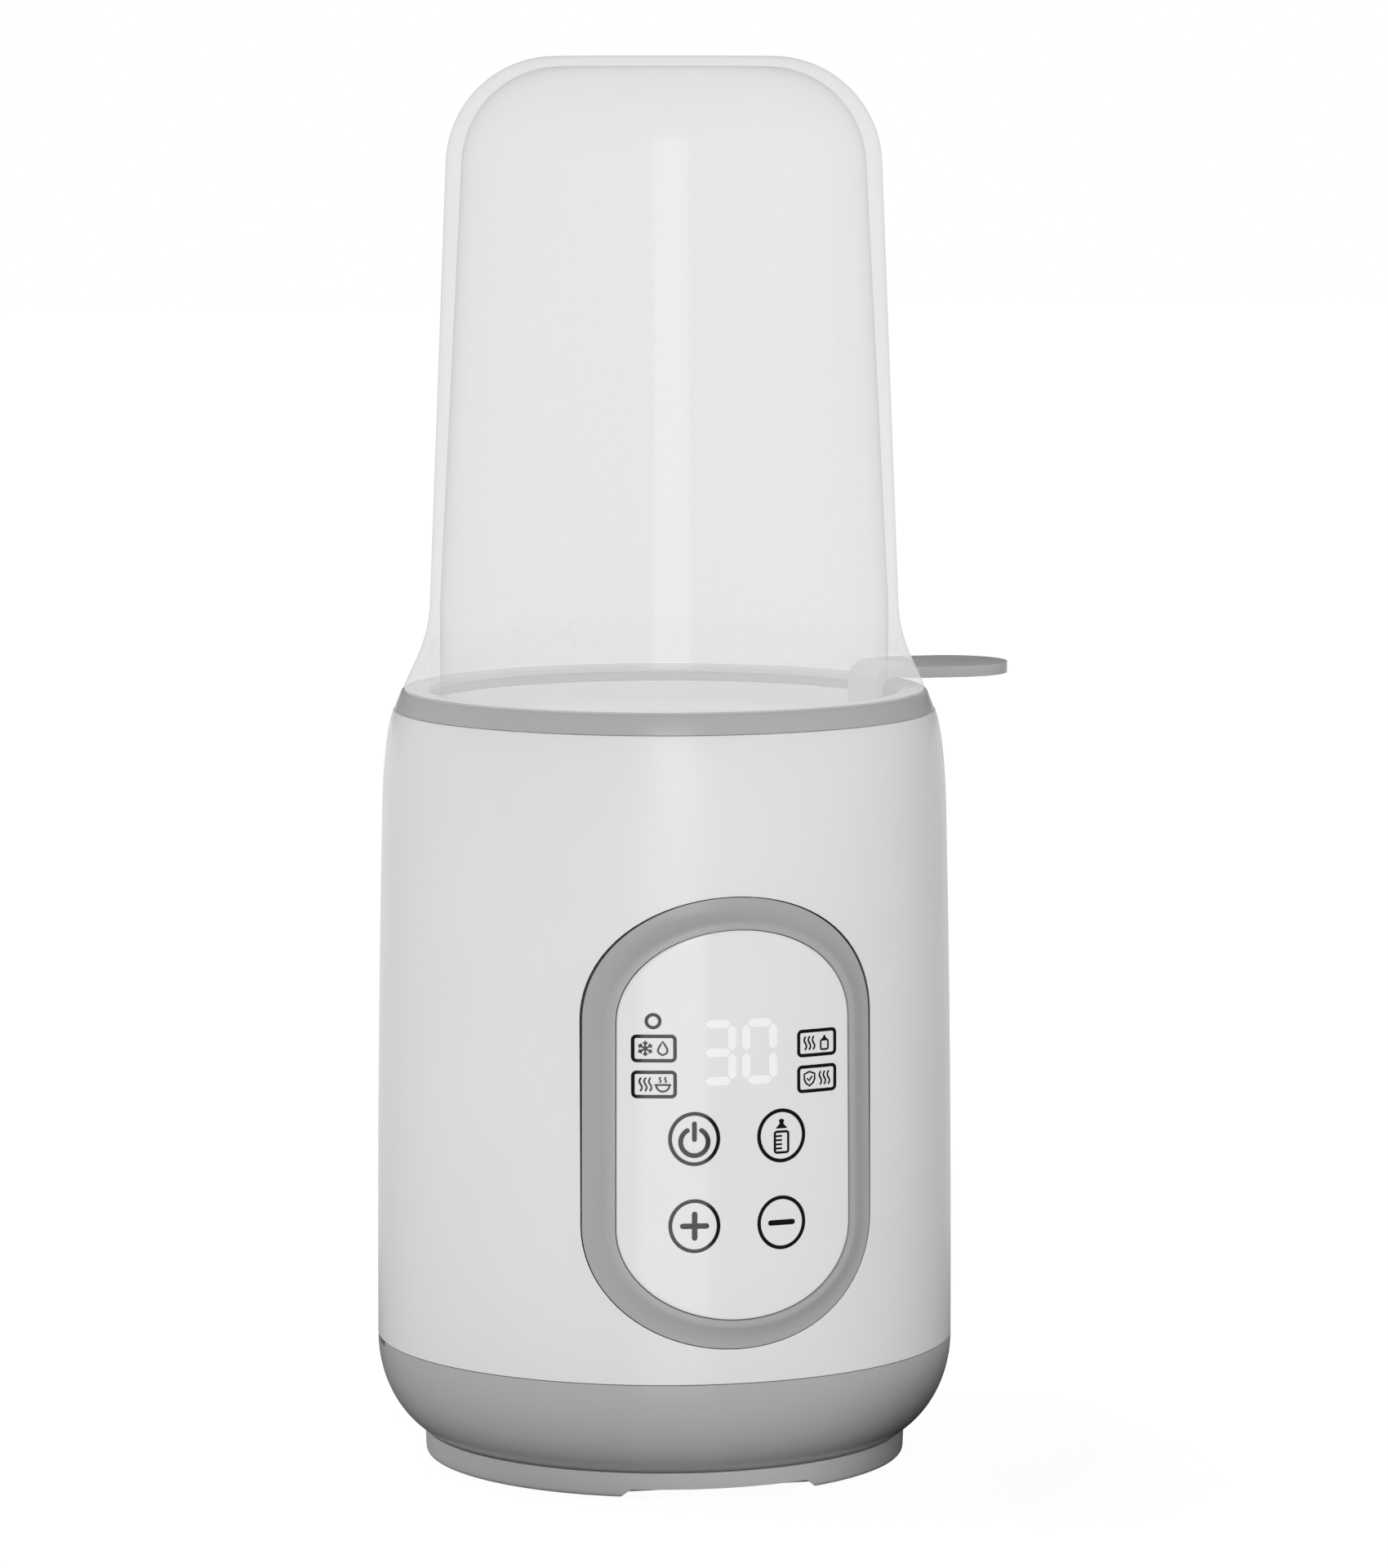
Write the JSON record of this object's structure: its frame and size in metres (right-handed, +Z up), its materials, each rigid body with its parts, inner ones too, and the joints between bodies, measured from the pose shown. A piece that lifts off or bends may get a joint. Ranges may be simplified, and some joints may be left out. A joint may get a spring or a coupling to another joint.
{
  "type": "bottle sterilizer",
  "caption": "Countertop steam sterilizer and warmer for one feeding bottle, with lift-off clear cover, lift-out basket with side tab, and oval touch control panel.",
  "frame": {"origin": "on the body's axis, in the plane of the base plate's underside", "axes": "+Z up along the body's axis, -Y towards the control panel, +X towards the basket's tab"},
  "size_m": [0.1397, 0.1279, 0.3042],
  "materials": {
    "housing_white": "gloss",
    "panel_white": "high gloss with printed symbols",
    "grey_plastic": "satin",
    "light_grey_plastic": "satin",
    "pot_plastic": "satin",
    "clear_plastic": "clear polished",
    "rubber_grey": "matte",
    "dark_plastic": "satin",
    "circuit_board": "lacquered",
    "steel": "zinc plated",
    "aluminium": "cast and brushed",
    "brass_pin": "polished",
    "lead_red": "silicone insulation",
    "lead_blue": "silicone insulation",
    "ribbon_grey": "flexible"
  },
  "bodies": {
    "base": {"housing": "housing_white", "lower_shell": "grey_plastic", "bottom_cover": "light_grey_plastic", "collar": "grey_plastic", "panel_bezel": "grey_plastic", "control_panel": "panel_white", "chamber": "pot_plastic", "chamber_seal": "rubber_grey", "heating_plate": "aluminium", "heater_gasket": "rubber_grey", "ptc_heater": "aluminium", "heater_clamp": "steel", "thermostat": "steel", "thermal_fuse": "steel", "temperature_sensor": "brass_pin", "clamp_screw_1": "steel", "clamp_screw_2": "steel", "power_board": "circuit_board", "transformer": "dark_plastic", "relay": "dark_plastic", "capacitor": "dark_plastic", "board_screw_1": "steel", "board_screw_2": "steel", "control_board": "circuit_board", "display_module": "dark_plastic", "control_screw_1": "steel", "control_screw_2": "steel", "key_contact_upper_left": "rubber_grey", "key_contact_lower_left": "rubber_grey", "key_contact_upper_right": "rubber_grey", "key_contact_lower_right": "rubber_grey", "light_guide": "clear_plastic", "buzzer": "dark_plastic", "power_inlet": "dark_plastic", "inlet_pin_1": "brass_pin", "inlet_pin_2": "brass_pin", "inlet_lead_1": "lead_blue", "inlet_lead_2": "lead_red", "heater_lead_1": "lead_blue", "heater_lead_2": "lead_red", "ribbon_cable": "ribbon_grey", "base_screw_1": "steel", "foot_pad_1": "rubber_grey", "base_screw_2": "steel", "foot_pad_2": "rubber_grey", "base_screw_3": "steel", "foot_pad_3": "rubber_grey", "base_screw_4": "steel", "foot_pad_4": "rubber_grey"},
    "basket": {"basket": "grey_plastic"},
    "cover": {"cover": "clear_plastic"}
  },
  "joints": [
    {"name": "basket_lift", "type": "slide", "parent": "base", "child": "basket", "axis": [0, 0, 1], "range_m": [0, 0.11]},
    {"name": "cover_lift", "type": "slide", "parent": "basket", "child": "cover", "axis": [0, 0, 1], "range_m": [0, 0.15]}
  ]
}
